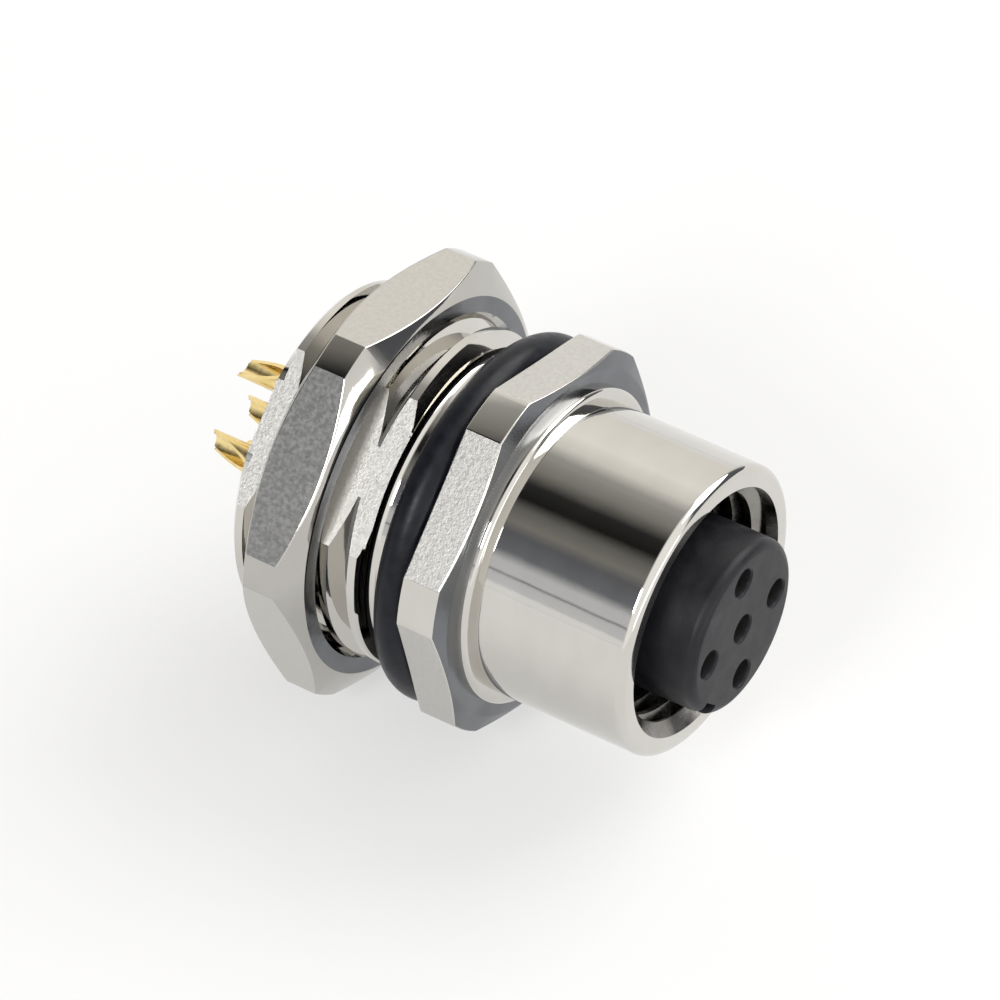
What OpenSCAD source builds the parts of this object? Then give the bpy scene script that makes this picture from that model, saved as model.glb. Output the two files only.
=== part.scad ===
// Panel socket with an M12 coupling thread, five poles and solder cups, fastened from the front.
// The mating axis runs along -Y. The origin is on that axis in the plane of the panel, which is
// the flange's rear face. +Z is up. All sizes are in millimetres.

/* [Flange] */
// Height of the flange's flats above the shank's crests
flange_flat_h = 0.5; // [0.3:0.05:1]
// Height of the turned corners above the flange's flats
flange_corner_h = 0.7; // [0.3:0.05:1]
// Thickness of the flange
flange_thk = 2.15; // [1.6:0.05:4]
// Depth of the cone that is turned on the flange's front edge
flange_cone_depth = 0.3; // [0.1:0.05:0.5]
// Angle of the flange's first corner, from +X towards +Z
flange_turn = 45; // [0:1:60]

/* [Sleeve] */
// Wall of the front sleeve outside the coupling thread
sleeve_wall = 1; // [0.8:0.05:1.4]
// Length of the sleeve in front of the flange
sleeve_len = 8.25; // [7:0.05:12]
// Chamfer on the sleeve's rim
rim_chamfer = 0.25; // [0.1:0.05:0.4]
// Height of the collar at the foot of the sleeve above the sleeve
collar_h = 0.6; // [0.3:0.05:0.9]
// Length of that collar along the axis
collar_len = 0.5; // [0.3:0.05:1]

/* [Coupling thread] */
// Major diameter of the internal coupling thread
coupling_d = 12; // [11.5:0.1:12.6]
// Pitch of the coupling thread
coupling_pitch = 1; // [0.75:0.25:1]
// Length of the threaded stretch behind the rim
coupling_len = 6.2; // [4:0.1:7]
// Depth of the mouth from the rim to its floor
mouth_depth = 8.4; // [7.6:0.1:9]
// Thickness of the web between the mouth and the rear bore
web_thk = 1.2; // [0.8:0.1:2]
// Depth of the relief behind the coupling thread, beyond its major diameter
relief_depth = 0.1; // [0.05:0.05:0.3]

/* [Shank] */
// Major diameter of the shank's thread
shank_d = 16; // [15:0.1:18]
// Pitch of the shank's thread
shank_pitch = 1.5; // [1:0.25:1.5]
// Length of the shank behind the flange
shank_len = 10; // [9:0.1:14]
// Depth of the seal's groove below the thread's root
undercut_depth = 0.05; // [0.03:0.01:0.2]
// Width of the seal's groove beyond the seal
undercut_room = 1.1; // [0.1:0.05:1.3]
// Depth of the milled flat below the crests
flat_depth = 0.92; // [0.4:0.02:1]
// Direction in which the flat faces, from +X towards +Z
flat_turn = 135; // [0:1:359]
// Wall between the seal's groove and the rear bore
shank_wall = 0.65; // [0.4:0.05:1]
// Chamfer on the shank's ends
shank_chamfer = 0.3; // [0.2:0.05:0.9]

/* [Seals] */
// Thickness of the panel seal's ring
panel_seal_section = 1.8; // [1.4:0.05:2.2]
// Thickness of the ring that seals the insert
insert_seal_section = 1; // [0.8:0.05:1.1]

/* [Nut] */
// Wall of the nut from the shank's crests to its flats
nut_wall = 1.5; // [1.2:0.05:3]
// Height of the turned corners above the nut's flats
nut_corner_h = 1; // [0.4:0.05:1.2]
// Distance from the nut's flats in to the edge of its end faces
nut_face_inset = 0.35; // [0.2:0.05:0.6]
// Thickness of the nut
nut_thk = 3.2; // [2:0.1:4]
// Gap between the panel seal and the nut as photographed
nut_gap = 3.05; // [0.5:0.05:3.2]
// Angle of the nut's first corner, from +X towards +Z
nut_turn = 51; // [0:1:60]
// Radial gap between the shank's crests and the nut's bore
nut_clearance = 0.05; // [0.03:0.01:0.1]

/* [Insert] */
// Diameter of the insert's front stem
stem_d = 8.4; // [8:0.1:9]
// Distance by which the stem stands out of the rim
stem_proud = 1.9; // [0:0.05:3]
// Height of the stem's foot above the stem, where it passes the web
foot_h = 0.3; // [0.2:0.05:0.5]
// Length of the insert's flange behind the web
insert_flange_len = 6; // [4:0.1:6.5]
// Width of the keyway
key_w = 1.05; // [0.8:0.05:1.3]
// Depth of the keyway
key_depth = 0.6; // [0.4:0.05:0.7]
// Direction of the keyway, from +X towards +Z
key_turn = 225; // [0:1:359]
// Diameter of the circle that the outer poles lie on
pole_circle_d = 5.5; // [5:0.1:5.8]
// Number of poles on that circle
pole_count = 4; // [2:1:4]
// Diameter of the holes that the mating pins enter
pin_hole_d = 1.35; // [1.1:0.05:1.6]
// Thickness of the wall in front of the contacts
front_wall = 0.6; // [0.4:0.05:1.2]
// Radial gap between the insert's parts and the shell
insert_clearance = 0.05; // [0.03:0.01:0.08]

/* [Rear insulator] */
// Distance by which the rear insulator stands out of the shank
insulator_proud = 0.4; // [0.1:0.05:1]

/* [Contacts] */
// Diameter of the pin that a contact takes
pin_d = 1; // [0.8:0.05:1]
// Outer diameter of a contact's barrel
barrel_d = 1.7; // [1.55:0.05:1.8]
// Depth of a contact's socket
socket_depth = 6; // [4:0.1:7]
// Width of the slot between a contact's two fingers
slot_w = 0.2; // [0.1:0.02:0.25]
// Length of that slot
slot_len = 4.4; // [2:0.1:5]
// Diameter of a contact's retaining collar
contact_collar_d = 2.3; // [2:0.05:2.4]
// Length of the retaining collar
contact_collar_len = 0.9; // [0.5:0.05:1.5]
// Outer diameter of a contact's tail and its solder cup
tail_d = 1.3; // [1.2:0.05:1.5]
// Distance by which the solder cups stand out of the rear insulator
cup_proud = 3.9; // [3.2:0.05:6]
// Bore of a solder cup
cup_bore_d = 0.9; // [0.6:0.05:1]
// Depth of a solder cup's bore
cup_bore_depth = 3.1; // [2:0.1:3.2]
// Length over which a solder cup is cut open at a slant
scoop_len = 2.8; // [1:0.1:3]
// Height that the slant leaves standing at a solder cup's tip
scoop_tip_h = 0.4; // [0.2:0.05:0.8]
// Direction in which the middle contact's cup opens, from +X towards +Z
middle_cup_turn = 180; // [0:1:359]
// Radial gap between a contact and the holes that it sits in
contact_clearance = 0.04; // [0.02:0.01:0.05]

/* [Hidden] */

// Number of steps in a full turn of a revolved form
round_fn = 96;
// Overlap that keeps a cut from ending on the face that it cuts
eps = 0.2;
// Colours of the finishes
nickel = [0.74, 0.72, 0.68];
dark_plastic = [0.2, 0.2, 0.23];
black_rubber = [0.08, 0.08, 0.1];
gold = [0.85, 0.68, 0.3];

// Places along the mating axis, counted forwards from the panel plane
rim_z = flange_thk + sleeve_len;
stem_end_z = rim_z + stem_proud;
floor_z = rim_z - mouth_depth;
shoulder_z = floor_z - web_thk;
shank_end_z = -shank_len;
insert_rear_z = shoulder_z - insert_flange_len;
insulator_rear_z = shank_end_z - insulator_proud;
contact_front_z = stem_end_z - front_wall;
cup_tip_z = insulator_rear_z - cup_proud;
nut_front_z = -panel_seal_section - nut_gap;

// Depth of an external thread and of an internal one, as shares of the pitch
outer_thread_share = 0.6;
inner_thread_share = 0.541;
// Half of the angle between the two flanks of a thread
flank_angle = 30;
// Width of a thread's flat crest or root, as a share of the pitch
thread_flat_share = 0.125;

// Diameters that follow from the two threads, from the outside in
flange_af = shank_d + 2 * flange_flat_h;
flange_turned_d = flange_af + 2 * flange_corner_h;
nut_af = shank_d + 2 * nut_wall;
nut_turned_d = nut_af + 2 * nut_corner_h;
nut_face_d = nut_af - 2 * nut_face_inset;
shank_root_d = shank_d - 2 * outer_thread_share * shank_pitch;
flat_dist = shank_d / 2 - flat_depth;
undercut_d = shank_root_d - 2 * undercut_depth;
undercut_w = panel_seal_section + undercut_room;
bore_d = undercut_d - 2 * shank_wall;
insert_flange_d = bore_d - 2 * insert_clearance;
coupling_minor_d = coupling_d - 2 * inner_thread_share * coupling_pitch;
relief_d = coupling_d + 2 * relief_depth;
sleeve_d = coupling_d + 2 * sleeve_wall;
collar_d = sleeve_d + 2 * collar_h;
foot_d = stem_d + 2 * foot_h;
// The cone on a nut's ends is turned at this angle to the end face
nut_cone_angle = 30;
// Breaks on small edges
edge_break = 0.15;
// Lead-in around each pin hole
pin_lead = 0.1;
// Room around the insert's seal in its groove
seal_room = 0.1;
// Gap between a seal and the faces that it lies on
seal_gap = 0.01;

// Turns local +Z, the mating direction, to -Y and local +Y to +Z
module along_axis() {
    rotate([90, 0, 0]) children();
}

// Hexagonal prism with its first corner at the angle turn
module hexagon(af, turn, z_from, z_to) {
    translate([0, 0, z_from])
        rotate([0, 0, turn])
            cylinder(h = z_to - z_from, d = af / cos(30), $fn = 6);
}

// Ring of one thread groove around z, which cuts a depth into the radius r_open.
// side is 1 for a groove cut inwards from outside and -1 for one cut outwards from a bore.
module thread_groove(r_open, depth, pitch, z, side) {
    root_half = thread_flat_share * pitch / 2;
    mouth_half = root_half + depth * tan(flank_angle);
    over = eps * side;
    over_half = eps * tan(flank_angle);
    rotate_extrude($fn = round_fn)
        polygon([
            [r_open - side * depth, z - root_half],
            [r_open - side * depth, z + root_half],
            [r_open + over, z + mouth_half + over_half],
            [r_open + over, z - mouth_half - over_half]
        ]);
}

// Row of thread grooves between two places on the axis
module thread_grooves(r_open, depth, pitch, z_from, z_to, side) {
    count = floor((z_to - z_from) / pitch);
    first = (z_from + z_to) / 2 - (count - 1) * pitch / 2;
    for (i = [0 : count - 1])
        thread_groove(r_open, depth, pitch, first + i * pitch, side);
}

// Turned outline of the shell's outside, from the rear end to the rim
module shell_outside() {
    r_shank = shank_d / 2;
    r_flange = flange_turned_d / 2;
    r_cone = flange_af / 2 - edge_break;
    r_sleeve = sleeve_d / 2;
    r_collar = collar_d / 2;
    rotate_extrude($fn = round_fn)
        polygon([
            [0, shank_end_z],
            [r_shank - shank_chamfer, shank_end_z],
            [r_shank, shank_end_z + shank_chamfer],
            [r_shank, -undercut_w - shank_chamfer],
            [r_shank - shank_chamfer, -undercut_w],
            [undercut_d / 2, -undercut_w],
            [undercut_d / 2, 0],
            [r_flange, 0],
            [r_flange, flange_thk - flange_cone_depth],
            [r_cone, flange_thk],
            [r_collar, flange_thk],
            [r_collar, flange_thk + collar_len - edge_break],
            [r_collar - edge_break, flange_thk + collar_len],
            [r_sleeve, flange_thk + collar_len],
            [r_sleeve, rim_z - rim_chamfer],
            [r_sleeve - rim_chamfer, rim_z],
            [0, rim_z]
        ]);
}

// Turned outline of everything that is bored out of the shell
module shell_inside() {
    r_minor = coupling_minor_d / 2;
    r_major = coupling_d / 2;
    r_relief = relief_d / 2;
    r_foot = foot_d / 2 + insert_clearance;
    thread_z = rim_z - coupling_len;
    rotate_extrude($fn = round_fn)
        polygon([
            [0, shank_end_z - eps],
            [bore_d / 2 + edge_break + eps, shank_end_z - eps],
            [bore_d / 2, shank_end_z + edge_break],
            [bore_d / 2, shoulder_z],
            [r_foot, shoulder_z],
            [r_foot, floor_z],
            [r_relief, floor_z],
            [r_relief, thread_z],
            [r_minor, thread_z],
            [r_minor, rim_z - (r_major - r_minor)],
            [r_major + eps, rim_z + eps],
            [0, rim_z + eps]
        ]);
}

// One turned piece: rear shank, hexagonal flange and front sleeve
module shell() {
    r_shank = shank_d / 2;
    r_minor = coupling_minor_d / 2;
    color(nickel)
        along_axis()
            difference() {
                shell_outside();
                // six flats on the flange
                difference() {
                    cylinder(h = flange_thk, d = flange_turned_d + 2 * eps, $fn = round_fn);
                    hexagon(flange_af, flange_turn, -eps, flange_thk + eps);
                }
                // milled flat along the shank
                rotate([0, 0, flat_turn])
                    translate([flat_dist, -shank_d, shank_end_z - eps])
                        cube([shank_d, 2 * shank_d, shank_len - undercut_w / 2 + eps]);
                thread_grooves(
                    r_shank, outer_thread_share * shank_pitch, shank_pitch,
                    shank_end_z + shank_chamfer, -undercut_w - shank_chamfer / 2, 1
                );
                shell_inside();
                thread_grooves(
                    r_minor, inner_thread_share * coupling_pitch, coupling_pitch,
                    rim_z - coupling_len, rim_z - (coupling_d - coupling_minor_d) / 2, -1
                );
            }
}

// Rubber ring in the groove behind the flange
module panel_seal() {
    color(black_rubber)
        along_axis()
            translate([0, 0, -panel_seal_section / 2 - seal_gap])
                rotate_extrude($fn = round_fn)
                    translate([undercut_d / 2 + panel_seal_section / 2 + seal_gap, 0])
                        circle(d = panel_seal_section, $fn = 48);
}

// Turned form of the nut: cones at both ends that cut the hexagon's corners
module nut_outside() {
    r_face = nut_face_d / 2;
    r_turned = nut_turned_d / 2;
    cone = (r_turned - r_face) * tan(nut_cone_angle);
    rotate_extrude($fn = round_fn)
        polygon([
            [0, nut_front_z - nut_thk],
            [r_face, nut_front_z - nut_thk],
            [r_turned, nut_front_z - nut_thk + cone],
            [r_turned, nut_front_z - cone],
            [r_face, nut_front_z],
            [0, nut_front_z]
        ]);
}

// Hexagonal lock nut. Its bore clears the shank's crests, so that it can slide along them.
module lock_nut() {
    r_bore = shank_d / 2 + nut_clearance;
    lead = 2 * edge_break;
    rear_z = nut_front_z - nut_thk;
    color(nickel)
        along_axis()
            difference() {
                intersection() {
                    nut_outside();
                    hexagon(nut_af, nut_turn, rear_z - eps, nut_front_z + eps);
                }
                translate([0, 0, rear_z - eps])
                    cylinder(h = nut_thk + 2 * eps, r = r_bore, $fn = round_fn);
                rotate_extrude($fn = round_fn)
                    polygon([
                        [0, rear_z - eps],
                        [r_bore + lead + eps, rear_z - eps],
                        [r_bore, rear_z + lead],
                        [0, rear_z + lead]
                    ]);
                rotate_extrude($fn = round_fn)
                    polygon([
                        [0, nut_front_z + eps],
                        [r_bore + lead + eps, nut_front_z + eps],
                        [r_bore, nut_front_z - lead],
                        [0, nut_front_z - lead]
                    ]);
            }
}

// Places of the contacts: the poles on their circle, and then the one in the middle
function pole_angle(i) = 90 - i * 360 / pole_count;
function contact_place(i) = i < pole_count
    ? [cos(pole_angle(i)), sin(pole_angle(i))] * pole_circle_d / 2
    : [0, 0];

// Puts its children at every contact's place
module at_contacts() {
    for (i = [0 : pole_count])
        translate(concat(contact_place(i), 0)) children();
}

// Turned body of the insert: front stem, foot in the web and rear flange
module insert_outside() {
    r_stem = stem_d / 2;
    r_flange = insert_flange_d / 2;
    rotate_extrude($fn = round_fn)
        polygon([
            [0, insert_rear_z],
            [r_flange, insert_rear_z],
            [r_flange, shoulder_z],
            [foot_d / 2, shoulder_z],
            [foot_d / 2, floor_z],
            [r_stem, floor_z],
            [r_stem, stem_end_z - 2 * edge_break],
            [r_stem - 2 * edge_break, stem_end_z],
            [0, stem_end_z]
        ]);
}

// Groove in the insert's flange, open towards the web, for the insert's seal
module insert_seal_groove() {
    groove_w = insert_seal_section + seal_room;
    groove_depth = insert_seal_section + 2 * seal_gap;
    rotate_extrude($fn = round_fn)
        translate([foot_d / 2, shoulder_z - groove_depth])
            square([groove_w, groove_depth + eps]);
}

// Hole for one contact: lead-in and pin hole, chamber for the barrel, pocket for the collar
module contact_chamber() {
    r_pin_hole = pin_hole_d / 2;
    r_barrel = barrel_d / 2 + contact_clearance;
    r_collar = contact_collar_d / 2 + contact_clearance;
    rotate_extrude($fn = 48)
        polygon([
            [0, insert_rear_z - eps],
            [r_collar, insert_rear_z - eps],
            [r_collar, insert_rear_z + contact_collar_len],
            [r_barrel, insert_rear_z + contact_collar_len],
            [r_barrel, contact_front_z],
            [r_pin_hole, contact_front_z],
            [r_pin_hole, stem_end_z - pin_lead],
            [r_pin_hole + pin_lead + eps, stem_end_z + eps],
            [0, stem_end_z + eps]
        ]);
}

// Moulded contact carrier with its keyway
module insert() {
    color(dark_plastic)
        along_axis()
            difference() {
                insert_outside();
                insert_seal_groove();
                at_contacts() contact_chamber();
                rotate([0, 0, key_turn])
                    translate([stem_d / 2 - key_depth, -key_w / 2, floor_z])
                        cube([key_depth + eps, key_w, stem_end_z - floor_z + eps]);
            }
}

// Rubber ring between the insert's flange and the web
module insert_seal() {
    color(black_rubber)
        along_axis()
            translate([0, 0, shoulder_z - insert_seal_section / 2 - seal_gap])
                rotate_extrude($fn = round_fn)
                    translate([foot_d / 2 + insert_seal_section / 2 + seal_room / 2, 0])
                        circle(d = insert_seal_section, $fn = 48);
}

// Disc that closes the rear bore and holds the contacts' collars in the insert
module rear_insulator() {
    r_disc = insert_flange_d / 2;
    color(dark_plastic)
        along_axis()
            difference() {
                rotate_extrude($fn = round_fn)
                    polygon([
                        [0, insulator_rear_z],
                        [r_disc - edge_break, insulator_rear_z],
                        [r_disc, insulator_rear_z + edge_break],
                        [r_disc, insert_rear_z],
                        [0, insert_rear_z]
                    ]);
                at_contacts()
                    translate([0, 0, insulator_rear_z - eps])
                        cylinder(
                            h = insert_rear_z - insulator_rear_z + 2 * eps,
                            r = tail_d / 2 + contact_clearance, $fn = 48
                        );
            }
}

// Turned outline of a contact: tail, retaining collar and barrel
module contact_outside() {
    r_tail = tail_d / 2;
    r_barrel = barrel_d / 2;
    collar_top_z = insert_rear_z + contact_collar_len;
    rotate_extrude($fn = 48)
        polygon([
            [0, cup_tip_z],
            [r_tail, cup_tip_z],
            [r_tail, insert_rear_z],
            [contact_collar_d / 2, insert_rear_z],
            [contact_collar_d / 2, collar_top_z],
            [r_barrel, collar_top_z],
            [r_barrel, contact_front_z - edge_break],
            [r_barrel - edge_break, contact_front_z],
            [0, contact_front_z]
        ]);
}

// Wedge that cuts a solder cup open at a slant, towards local +X
module scoop() {
    r_tail = tail_d / 2;
    slope = (tail_d - scoop_tip_h) / scoop_len;
    x_low = -r_tail + scoop_tip_h - slope * eps;
    x_high = r_tail + slope * eps;
    rotate([90, 0, 0])
        linear_extrude(height = 2 * tail_d, center = true)
            polygon([
                [x_low, cup_tip_z - eps],
                [x_high, cup_tip_z - eps],
                [x_high, cup_tip_z + scoop_len + eps]
            ]);
}

// One turned contact: split socket in front, slanted solder cup behind.
// The cup opens towards the local angle open_turn.
module contact(place, open_turn) {
    color(gold)
        along_axis()
            translate(concat(place, 0))
                difference() {
                    contact_outside();
                    // socket for the mating pin
                    translate([0, 0, contact_front_z - socket_depth])
                        cylinder(h = socket_depth + eps, d = pin_d, $fn = 48);
                    // slot between the two fingers
                    rotate([0, 0, open_turn])
                        translate([-barrel_d, -slot_w / 2, contact_front_z - slot_len])
                            cube([2 * barrel_d, slot_w, slot_len + eps]);
                    // bore of the solder cup
                    translate([0, 0, cup_tip_z - eps])
                        cylinder(h = cup_bore_depth + eps, d = cup_bore_d, $fn = 48);
                    rotate([0, 0, open_turn]) scoop();
                }
}

// A contact by its number. The outer poles' cups open outwards, the middle one's to the side.
module numbered_contact(i) {
    contact(contact_place(i), i < pole_count ? pole_angle(i) : middle_cup_turn);
}

shell();
panel_seal();
lock_nut();
insert();
insert_seal();
rear_insulator();
numbered_contact(0);  // contact_1
numbered_contact(1);  // contact_2
numbered_contact(2);  // contact_3
numbered_contact(3);  // contact_4
numbered_contact(4);  // contact_5
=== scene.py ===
"""Looks of a panel socket with an M12 coupling thread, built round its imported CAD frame.

Sizes in the classes below are in millimetres, as in the part's source, and become metres where a
mesh is made. A place u counts along the mating axis, forwards from the panel plane, so that a
point at radius r, angle t and place u lies at (r cos t, -u, r sin t). Angles count from +X
towards +Z.
"""

from __future__ import annotations

import logging
import math
from collections.abc import Callable, Iterable, Sequence
from dataclasses import dataclass, replace
from enum import Enum

import bmesh
import bpy
import numpy as np
from mathutils import Matrix, Vector
from mathutils.geometry import delaunay_2d_cdt

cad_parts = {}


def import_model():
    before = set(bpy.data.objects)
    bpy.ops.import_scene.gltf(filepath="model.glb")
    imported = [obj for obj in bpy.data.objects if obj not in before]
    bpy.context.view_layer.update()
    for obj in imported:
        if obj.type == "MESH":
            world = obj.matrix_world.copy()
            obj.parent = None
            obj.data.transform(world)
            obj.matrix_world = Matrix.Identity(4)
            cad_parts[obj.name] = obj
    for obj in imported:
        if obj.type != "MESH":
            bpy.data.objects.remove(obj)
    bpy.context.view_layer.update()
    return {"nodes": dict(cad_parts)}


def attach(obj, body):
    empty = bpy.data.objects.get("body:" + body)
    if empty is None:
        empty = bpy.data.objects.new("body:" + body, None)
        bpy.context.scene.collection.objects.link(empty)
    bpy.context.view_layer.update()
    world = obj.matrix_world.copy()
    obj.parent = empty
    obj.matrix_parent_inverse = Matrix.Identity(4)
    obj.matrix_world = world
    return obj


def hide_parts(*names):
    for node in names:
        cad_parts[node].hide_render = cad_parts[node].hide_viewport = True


log = logging.getLogger("panel_socket")

MM = 0.001
FULL_TURN = 2 * math.pi

# Points nearer than this are one point, and a face this near to a surface lies in it.
MERGE_MM = 0.0002
ON_SURFACE_MM = 0.02

# Least cosine at which two normals agree, and at which a ray out from the axis meets a plane.
SAME_WAY = 0.995
LEAST_FACING = 0.05
FAR_MM = 1000.0

# Largest share of a stretch that a rounding takes, and whole pitches of rows past a thread's ends.
MOST_EASED = 0.45
SPARE_PITCHES = 3

# Columns of the turned meshes in degrees, finer beside the milled flat.
COLUMN_STEP = 1.5
COLUMN_GAP = 0.2
FINE_COLUMNS = (104.0, 166.0, 0.5)

# The shank's groove as the photograph shows it: its place at one angle in degrees.
SHANK_PITCH = 1.5
GROOVE_SEEN = -4.12
GROOVE_TURN = 138
SHANK_GROOVE = GROOVE_SEEN - SHANK_PITCH * GROOVE_TURN / 360

Colour = tuple[float, float, float]
Piece = bpy.types.Object
Material = bpy.types.Material
Tree = bpy.types.NodeTree
Socket = bpy.types.NodeSocket
SOCKET_KINDS = {
    float: "NodeSocketFloat",
    int: "NodeSocketInt",
    Piece: "NodeSocketObject",
    Material: "NodeSocketMaterial",
}


class Body(Enum):
    """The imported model's bodies."""

    HOUSING = "housing"
    NUT = "nut"


class Slot(Enum):
    """The record's material slots."""

    NICKEL = "nickel"
    RUBBER = "black_rubber"
    PLASTIC = "dark_plastic"
    GOLD = "gold"


class Side(Enum):
    """Whether a thread is cut into a bar from outside or into a bore from inside."""

    OUTER = 1.0
    INNER = -1.0


class Term:
    """A value in a node tree, with which arithmetic adds math nodes."""

    def __init__(self, wiring: Wiring, socket: Socket) -> None:
        """Takes the tree's wiring and the socket that gives the value."""
        self.wiring = wiring
        self.socket = socket

    def __add__(self, other: Term | float) -> Term:
        """The sum."""
        return self.wiring.math("ADD", self, other)

    def __sub__(self, other: Term | float) -> Term:
        """The difference."""
        return self.wiring.math("SUBTRACT", self, other)

    def __rsub__(self, other: float) -> Term:
        """The difference from a plain number."""
        return self.wiring.math("SUBTRACT", other, self)

    def __mul__(self, other: Term | float) -> Term:
        """The product."""
        return self.wiring.math("MULTIPLY", self, other)

    def __truediv__(self, other: Term | float) -> Term:
        """The quotient."""
        return self.wiring.math("DIVIDE", self, other)

    def __rtruediv__(self, other: float) -> Term:
        """The quotient of a plain number."""
        return self.wiring.math("DIVIDE", other, self)


class Wiring:
    """A node tree that is being filled and joined up."""

    def __init__(self, tree: Tree) -> None:
        """Takes the tree and empties it."""
        self.tree = tree
        tree.nodes.clear()

    def node(self, kind: str, inputs: dict | None = None, **settings: object) -> bpy.types.Node:
        """Adds one node.

        Args:
            kind: The node's type name.
            inputs: Input name or number to what feeds it, or to a plain value.
            settings: Attributes of the node.

        Returns:
            The new node.
        """
        new = self.tree.nodes.new(kind)
        for name, value in settings.items():
            setattr(new, name, value)
        for key, value in (inputs or {}).items():
            self.feed(new.inputs[key], value)
        return new

    def feed(self, socket: Socket, value: object) -> None:
        """Joins a socket to its source, or sets its plain value."""
        source = value.socket if isinstance(value, Term) else value
        if isinstance(source, Socket):
            self.tree.links.new(source, socket)
        else:
            socket.default_value = source

    def math(self, operation: str, *values: Term | float) -> Term:
        """Adds a math node and gives its result."""
        new = self.node("ShaderNodeMath", dict(enumerate(values)), operation=operation)
        return Term(self, new.outputs[0])

    def given(self) -> dict[str, Term]:
        """Adds the tree's inputs and gives them by name."""
        outputs = self.node("NodeGroupInput").outputs
        return {socket.name: Term(self, socket) for socket in outputs}

    def split(self, vector: Socket) -> list[Term]:
        """Adds the parts of a vector along X, Y and Z."""
        parts = self.node("ShaderNodeSeparateXYZ", {0: vector}).outputs
        return [Term(self, part) for part in parts]

    def vector(
        self, x: Term | float = 0.0, y: Term | float = 0.0, z: Term | float = 0.0
    ) -> Socket:
        """Adds a vector from its parts."""
        return self.node("ShaderNodeCombineXYZ", {0: x, 1: y, 2: z}).outputs[0]

    def span(self, value: Term, start: float, end: float) -> Socket:
        """Adds a smooth step from 0 at the start to 1 at the end."""
        limits = {"Value": value, "From Min": start, "From Max": end}
        new = self.node("ShaderNodeMapRange", limits, interpolation_type="SMOOTHSTEP")
        return new.outputs[0]

    def blend(self, share: object, first: object, second: object) -> Socket:
        """Adds a mix of two colours.

        Args:
            share: Share of the second colour.
            first: A socket or a plain colour.
            second: A socket or a plain colour.

        Returns:
            The mixed colour's socket.
        """
        ends = [(*c, 1.0) if isinstance(c, tuple) else c for c in (first, second)]
        inputs = {"Factor": share, 6: ends[0], 7: ends[1]}
        return self.node("ShaderNodeMix", inputs, data_type="RGBA").outputs[2]

    def close(self, geometry: Socket, material: Term) -> None:
        """Ends a geometry tree: instances made real, the material set, and out.

        Args:
            geometry: What the tree has made.
            material: Its material.
        """
        real = self.node("GeometryNodeRealizeInstances", {"Geometry": geometry}).outputs[0]
        coated = self.node("GeometryNodeSetMaterial", {"Geometry": real, "Material": material})
        self.node("NodeGroupOutput", {"Geometry": coated.outputs[0]})


@dataclass(frozen=True)
class Grain:
    """Noise that roughens a surface.

    Attributes:
        size: Size of one grain in millimetres.
        stretch: How many times longer the grain is along X, Y and Z.
        detail: Octaves of the noise.
        height: Height of the bump in millimetres.
    """

    size: float
    stretch: tuple[float, float, float] = (1.0, 1.0, 1.0)
    detail: float = 2.0
    height: float = 0.01

    def noise(self, wiring: Wiring) -> Socket:
        """Adds the noise on Object coordinates.

        Args:
            wiring: The material's tree.

        Returns:
            The socket of the noise's value, from 0 to 1.
        """
        place = wiring.node("ShaderNodeTexCoord").outputs["Object"]
        scale = [1 / (self.size * MM * s) for s in self.stretch]
        mapped = wiring.node("ShaderNodeMapping", {"Vector": place, "Scale": scale}).outputs[0]
        inputs = {"Vector": mapped, "Scale": 1.0, "Detail": self.detail}
        return wiring.node("ShaderNodeTexNoise", inputs).outputs[0]

    def bump(self, wiring: Wiring, under: Socket | None = None) -> Socket:
        """Adds a bump from the noise.

        Args:
            wiring: The material's tree.
            under: Normal that the bump adds to.

        Returns:
            The socket of the bumped normal.
        """
        inputs = {"Height": self.noise(wiring), "Strength": 1.0, "Distance": self.height * MM}
        if under is not None:
            inputs["Normal"] = under
        return wiring.node("ShaderNodeBump", inputs).outputs[0]


@dataclass(frozen=True)
class Finish:
    """One finish: a Principled shader whose colour, roughness and relief vary with noise.

    Attributes:
        name: Name of the material.
        dark: Colour in the noise's low places.
        light: Colour in its high places.
        metallic: Share of metal.
        smooth: Roughness in the noise's low places.
        rough: Roughness in its high places.
        blotch: Noise that mixes the two colours and the two roughnesses.
        relief: Bumps, laid over each other.
        contrast: Low and high noise values between which the mix runs.
        specular: Level of the clear reflection, where 0.5 is plain plastic.
    """

    name: str
    dark: Colour
    light: Colour
    metallic: float
    smooth: float
    rough: float
    blotch: Grain
    relief: tuple[Grain, ...]
    contrast: tuple[float, float] = (0.35, 0.65)
    specular: float = 0.5

    def material(self) -> Material:
        """Makes the material, or returns the one that is there.

        Returns:
            The material.
        """
        ready = bpy.data.materials.get(self.name)
        if ready is not None:
            return ready
        made = bpy.data.materials.new(self.name)
        made.use_nodes = True
        wiring = Wiring(made.node_tree)
        low, high = self.contrast
        limits = {"Value": self.blotch.noise(wiring), "From Min": low, "From Max": high}
        mix = wiring.node("ShaderNodeMapRange", limits).outputs[0]
        limits = {"Value": mix, "To Min": self.smooth, "To Max": self.rough}
        normal = None
        for grain in self.relief:
            normal = grain.bump(wiring, normal)
        inputs = {
            "Base Color": wiring.blend(mix, self.dark, self.light),
            "Metallic": self.metallic,
            "Roughness": wiring.node("ShaderNodeMapRange", limits).outputs[0],
            "Specular IOR Level": self.specular,
            "Normal": normal,
        }
        shader = wiring.node("ShaderNodeBsdfPrincipled", inputs).outputs[0]
        wiring.node("ShaderNodeOutputMaterial", {"Surface": shader})
        return made


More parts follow.
